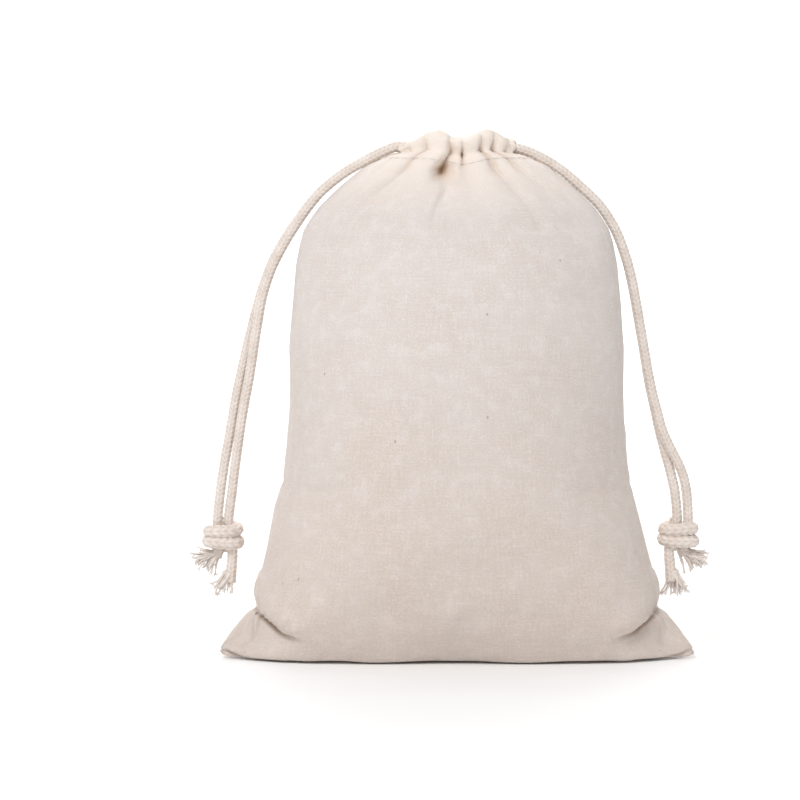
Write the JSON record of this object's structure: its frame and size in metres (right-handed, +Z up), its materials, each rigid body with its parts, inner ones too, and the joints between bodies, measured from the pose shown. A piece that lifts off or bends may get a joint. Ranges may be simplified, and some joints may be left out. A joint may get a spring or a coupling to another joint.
{
  "type": "filled drawstring bag",
  "caption": "Plump cotton muslin bag with a gathered mouth and knotted drawcords hanging down both sides, standing on its base.",
  "frame": {"origin": "centre of the filled bag's footprint, on the surface it stands on, without its cords", "axes": "+X to the bag's right as seen from the front, -Y the front, +Z up to the gathered mouth"},
  "size_m": [0.1634, 0.081, 0.165],
  "materials": {
    "muslin": "matte",
    "cord": "matte",
    "thread": "matte",
    "herbs": "matte"
  },
  "bodies": {
    "bag": {"front_panel": "muslin", "back_panel": "muslin", "front_channel": "muslin", "back_channel": "muslin", "bottom_seam": "thread", "left_side_seam": "thread", "right_side_seam": "thread", "front_channel_stitching": "thread", "back_channel_stitching": "thread", "herb_filling": "herbs", "left_cord_in_channel": "cord", "right_cord_in_channel": "cord"},
    "right_cord_lead": {"right_front_lead": "cord", "right_back_lead": "cord"},
    "right_cord_strands": {"right_front_strand": "cord", "right_back_strand": "cord"},
    "right_cord_end": {"right_knot": "cord", "right_front_tail": "cord", "right_back_tail": "cord"},
    "left_cord_lead": {"left_front_lead": "cord", "left_back_lead": "cord"},
    "left_cord_strands": {"left_front_strand": "cord", "left_back_strand": "cord"},
    "left_cord_end": {"left_knot": "cord", "left_front_tail": "cord", "left_back_tail": "cord"}
  },
  "joints": [
    {"name": "right_cord_pull", "type": "slide", "parent": "bag", "child": "right_cord_lead", "axis": [1, 0, 0], "range_m": [0, 0.01]},
    {"name": "right_cord_lift", "type": "hinge", "parent": "right_cord_lead", "child": "right_cord_strands", "pos_m": [0.01885, 0, 0.16], "axis": [0, -1, 0], "range_deg": [0, 75]},
    {"name": "right_knot_swing", "type": "hinge", "parent": "right_cord_strands", "child": "right_cord_end", "pos_m": [0.0713, -0.0012, 0.0426], "axis": [1, 0, 0], "range_deg": [-30, 30]},
    {"name": "left_cord_pull", "type": "slide", "parent": "bag", "child": "left_cord_lead", "axis": [-1, 0, 0], "range_m": [0, 0.01]},
    {"name": "left_cord_lift", "type": "hinge", "parent": "left_cord_lead", "child": "left_cord_strands", "pos_m": [-0.01885, 0, 0.1605], "axis": [0, 1, 0], "range_deg": [0, 75]},
    {"name": "left_knot_swing", "type": "hinge", "parent": "left_cord_strands", "child": "left_cord_end", "pos_m": [-0.0734, -0.0012, 0.0421], "axis": [1, 0, 0], "range_deg": [-30, 30]}
  ]
}
